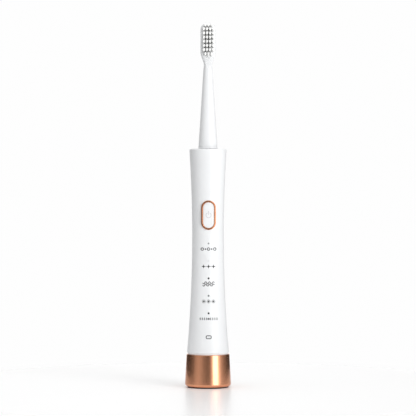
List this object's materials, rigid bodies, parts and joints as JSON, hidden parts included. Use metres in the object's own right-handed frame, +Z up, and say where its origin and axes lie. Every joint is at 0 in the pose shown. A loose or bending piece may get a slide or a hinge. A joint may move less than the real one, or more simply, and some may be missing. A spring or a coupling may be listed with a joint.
{
  "type": "electric toothbrush on charging base",
  "caption": "Slim sonic toothbrush with an hourglass handle, push button, mode lights and pull-off brush head, standing in a tapered metal induction charging base.",
  "frame": {"origin": "centre of the foot's underside, on the surface that the base stands on", "axes": "+Z up along the handle, -Y towards the front with the button and the bristles, +Y towards the rear with the charging inlet"},
  "size_m": [0.0316, 0.0316, 0.25],
  "materials": {
    "rose_gold": "satin rose-gold coating",
    "gloss_white": "glossy moulded white",
    "dark_rubber": "dull black",
    "grey_rubber": "dull grey silicone",
    "natural_plastic": "plain moulded",
    "black_plastic": "plain moulded",
    "light_window": "translucent smoke grey",
    "board_green": "green solder mask",
    "chip_black": "moulded package",
    "led_white": "phosphor cap",
    "steel": "plain",
    "motor_steel": "zinc plated",
    "nickel": "nickel plated",
    "bronze": "sintered bronze",
    "copper_wire": "enamelled winding wire",
    "ferrite": "sintered",
    "magnet": "nickel plated",
    "cell_wrap": "blue shrink sleeve over the cell's can",
    "bristle_white": "nylon filaments"
  },
  "bodies": {
    "charger": {"base_sleeve": "rose_gold", "rubber_foot": "dark_rubber", "base_plate": "black_plastic", "base_screws": "steel", "charger_board": "board_green", "charger_chips": "chip_black", "usb_shell": "nickel", "usb_tongue": "black_plastic", "charger_well": "gloss_white", "ferrite_core": "ferrite", "transmit_coil": "copper_wire"},
    "handle": {"handle_shell": "gloss_white", "bottom_cap": "gloss_white", "cap_oring": "dark_rubber", "coil_bobbin": "natural_plastic", "receiver_coil": "copper_wire", "coil_leads": "copper_wire", "inner_frame": "natural_plastic", "battery_cell": "cell_wrap", "battery_tabs": "nickel", "main_board": "board_green", "board_screws": "steel", "board_chips": "chip_black", "mode_leds": "led_white", "led_baffle": "black_plastic", "mode_windows": "light_window", "battery_window": "light_window", "tact_switch": "black_plastic", "button_ring": "rose_gold", "button_gasket": "grey_rubber", "motor_can": "motor_steel", "motor_rear_cap": "black_plastic", "motor_front_cap": "motor_steel", "rear_bearing": "bronze", "front_bearing": "bronze", "stator_core": "motor_steel", "stator_coils": "copper_wire", "motor_leads": "copper_wire", "motor_cushion": "grey_rubber", "nose_seal": "grey_rubber"},
    "drive_shaft": {"drive_shaft": "steel", "rotor_hub": "motor_steel", "rotor_magnets": "magnet"},
    "brush_head": {"neck_ring": "gloss_white", "neck_shell": "gloss_white", "shaft_socket": "natural_plastic", "grip_spring": "steel", "bristle_tufts": "bristle_white", "tuft_anchors": "bronze"},
    "power_button": {"power_button": "gloss_white"},
    "switch_plunger": {"switch_plunger": "natural_plastic"}
  },
  "joints": [
    {"name": "handle_lift", "type": "slide", "parent": "charger", "child": "handle", "axis": [0, 0, 1], "range_m": [0, 0.035]},
    {"name": "shaft_swing", "type": "hinge", "parent": "handle", "child": "drive_shaft", "pos_m": [0, 0, 0.16], "axis": [0, 0, 1], "range_deg": [-5, 5], "stiffness_Nm_per_rad": 0.5},
    {"name": "head_pull", "type": "slide", "parent": "drive_shaft", "child": "brush_head", "axis": [0, 0, 1], "range_m": [0, 0.032]},
    {"name": "button_press", "type": "slide", "parent": "handle", "child": "power_button", "axis": [0, 1, 0], "range_m": [0, 0.0005], "stiffness_N_per_m": 3000},
    {"name": "plunger_press", "type": "slide", "parent": "handle", "child": "switch_plunger", "axis": [0, 1, 0], "range_m": [0, 0.0005]}
  ],
  "couplings": [
    {"joint": "plunger_press", "follows": "button_press", "ratio": 1}
  ]
}
